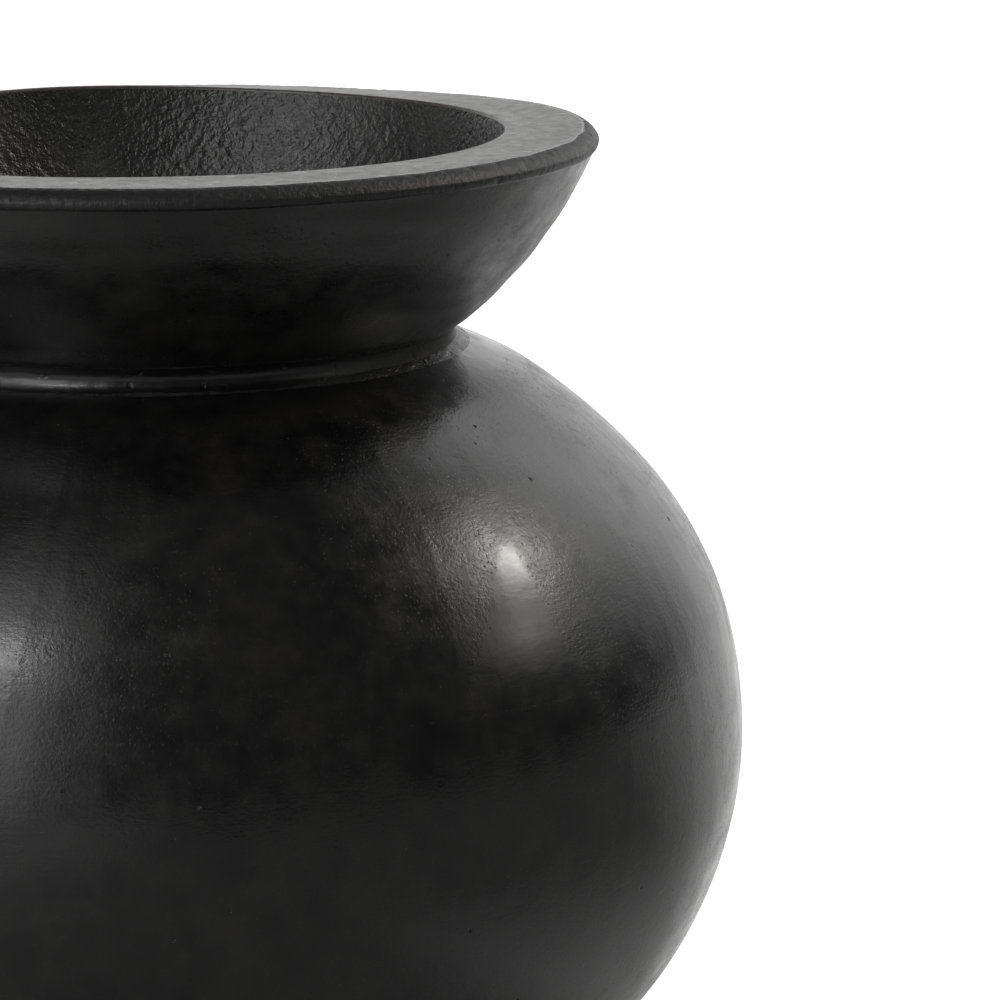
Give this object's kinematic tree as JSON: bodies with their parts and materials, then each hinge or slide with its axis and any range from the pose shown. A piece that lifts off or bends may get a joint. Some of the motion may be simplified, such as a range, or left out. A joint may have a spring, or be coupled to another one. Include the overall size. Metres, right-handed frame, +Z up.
{
  "type": "clay pot",
  "caption": "Round-bellied burnished black clay pot with a flat base, a narrow neck and a wide bowl-shaped collar with a thick lip.",
  "frame": {"origin": "on the pot's axis, at the underside of its flat base", "axes": "+Z up along the pot's axis, towards the mouth"},
  "size_m": [0.36, 0.3598, 0.308],
  "materials": {
    "burnished_black_clay": "stone-burnished before a smoke firing: deep black with a graphite sheen, fine streaks and small pits",
    "matte_black_clay": "cut and rubbed but not burnished: dull dark grey with fine tool marks"
  },
  "bodies": {
    "root": {"base_dish": "burnished_black_clay", "belly_coil_1": "burnished_black_clay", "belly_coil_2": "burnished_black_clay", "belly_coil_3": "burnished_black_clay", "belly_coil_4": "burnished_black_clay", "belly_coil_5": "burnished_black_clay", "neck_coil": "burnished_black_clay", "luting_coil": "burnished_black_clay", "lower_collar_coil": "burnished_black_clay", "upper_collar_coil": "burnished_black_clay", "lip_coil": "matte_black_clay"}
  },
  "joints": []
}
